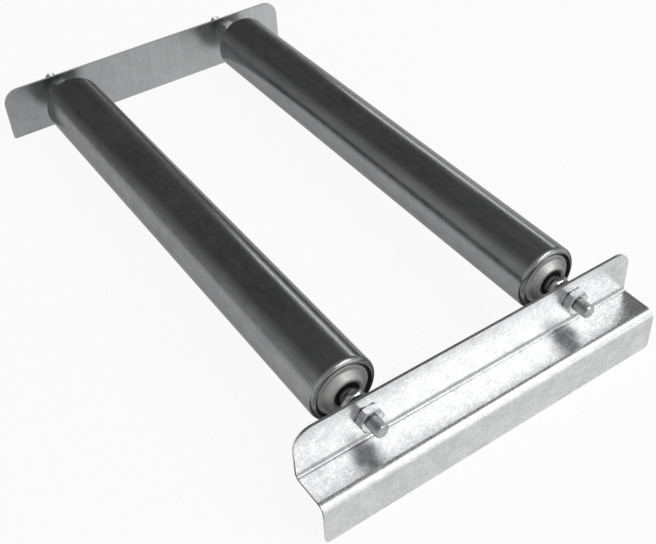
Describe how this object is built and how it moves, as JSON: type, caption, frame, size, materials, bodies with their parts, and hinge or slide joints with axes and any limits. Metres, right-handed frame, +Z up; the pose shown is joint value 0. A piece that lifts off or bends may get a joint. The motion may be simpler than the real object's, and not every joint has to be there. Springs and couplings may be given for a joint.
{
  "type": "pipe roller support",
  "caption": "Pipe support with free-turning steel rollers on threaded axles between a hooked rail bracket and a flat end plate.",
  "frame": {"origin": "middle of the bounding box's underside, level with the lower edge of the rail bracket's lip", "axes": "+X along the rollers towards the rail bracket, +Y across the rollers, +Z up"},
  "size_m": [0.528, 0.277, 0.079],
  "materials": {
    "galvanised_sheet": "bright galvanised sheet with faint spangle",
    "zinc_tube": "glossy zinc plate, drawn along the tube",
    "zinc_fastener": "zinc plate, satin",
    "cover_polymer": "light grey moulded, satin",
    "housing_polymer": "dark moulded, matt",
    "bearing_steel": "hardened and polished, lightly greased",
    "seal_rubber": "matt black"
  },
  "bodies": {
    "frame": {"rail_bracket": "galvanised_sheet", "end_plate": "galvanised_sheet", "left_axle": "zinc_fastener", "left_cone_at_rail": "bearing_steel", "left_dust_seal_at_rail": "seal_rubber", "left_lock_nut_at_rail": "zinc_fastener", "left_clamp_nut_at_rail": "zinc_fastener", "left_outer_nut_at_rail": "zinc_fastener", "left_cone_at_end_plate": "bearing_steel", "left_dust_seal_at_end_plate": "seal_rubber", "left_lock_nut_at_end_plate": "zinc_fastener", "left_clamp_nut_at_end_plate": "zinc_fastener", "left_outer_nut_at_end_plate": "zinc_fastener", "right_axle": "zinc_fastener", "right_cone_at_rail": "bearing_steel", "right_dust_seal_at_rail": "seal_rubber", "right_lock_nut_at_rail": "zinc_fastener", "right_clamp_nut_at_rail": "zinc_fastener", "right_outer_nut_at_rail": "zinc_fastener", "right_cone_at_end_plate": "bearing_steel", "right_dust_seal_at_end_plate": "seal_rubber", "right_lock_nut_at_end_plate": "zinc_fastener", "right_clamp_nut_at_end_plate": "zinc_fastener", "right_outer_nut_at_end_plate": "zinc_fastener"},
    "left_roller": {"left_roller_tube": "zinc_tube", "left_bearing_housing_at_rail": "housing_polymer", "left_outer_race_at_rail": "bearing_steel", "left_end_cover_at_rail": "cover_polymer", "left_bearing_housing_at_end_plate": "housing_polymer", "left_outer_race_at_end_plate": "bearing_steel", "left_end_cover_at_end_plate": "cover_polymer"},
    "left_cage_at_rail": {"left_ball_cage_at_rail": "bearing_steel"},
    "left_cage_at_end_plate": {"left_ball_cage_at_end_plate": "bearing_steel"},
    "right_roller": {"right_roller_tube": "zinc_tube", "right_bearing_housing_at_rail": "housing_polymer", "right_outer_race_at_rail": "bearing_steel", "right_end_cover_at_rail": "cover_polymer", "right_bearing_housing_at_end_plate": "housing_polymer", "right_outer_race_at_end_plate": "bearing_steel", "right_end_cover_at_end_plate": "cover_polymer"},
    "right_cage_at_rail": {"right_ball_cage_at_rail": "bearing_steel"},
    "right_cage_at_end_plate": {"right_ball_cage_at_end_plate": "bearing_steel"}
  },
  "joints": [
    {"name": "left_roller_spin", "type": "hinge", "parent": "frame", "child": "left_roller", "pos_m": [-0.0005, -0.08575, 0.054], "axis": [1, 0, 0], "continuous": true},
    {"name": "left_cage_spin_at_rail", "type": "hinge", "parent": "frame", "child": "left_cage_at_rail", "pos_m": [0.2005, -0.08575, 0.054], "axis": [1, 0, 0], "continuous": true},
    {"name": "left_cage_spin_at_end_plate", "type": "hinge", "parent": "frame", "child": "left_cage_at_end_plate", "pos_m": [-0.2015, -0.08575, 0.054], "axis": [1, 0, 0], "continuous": true},
    {"name": "right_roller_spin", "type": "hinge", "parent": "frame", "child": "right_roller", "pos_m": [-0.0005, 0.08575, 0.054], "axis": [1, 0, 0], "continuous": true},
    {"name": "right_cage_spin_at_rail", "type": "hinge", "parent": "frame", "child": "right_cage_at_rail", "pos_m": [0.2005, 0.08575, 0.054], "axis": [1, 0, 0], "continuous": true},
    {"name": "right_cage_spin_at_end_plate", "type": "hinge", "parent": "frame", "child": "right_cage_at_end_plate", "pos_m": [-0.2015, 0.08575, 0.054], "axis": [1, 0, 0], "continuous": true}
  ],
  "couplings": [
    {"joint": "left_cage_spin_at_rail", "follows": "left_roller_spin", "ratio": 0.63636},
    {"joint": "left_cage_spin_at_end_plate", "follows": "left_roller_spin", "ratio": 0.63636},
    {"joint": "right_cage_spin_at_rail", "follows": "right_roller_spin", "ratio": 0.63636},
    {"joint": "right_cage_spin_at_end_plate", "follows": "right_roller_spin", "ratio": 0.63636}
  ]
}
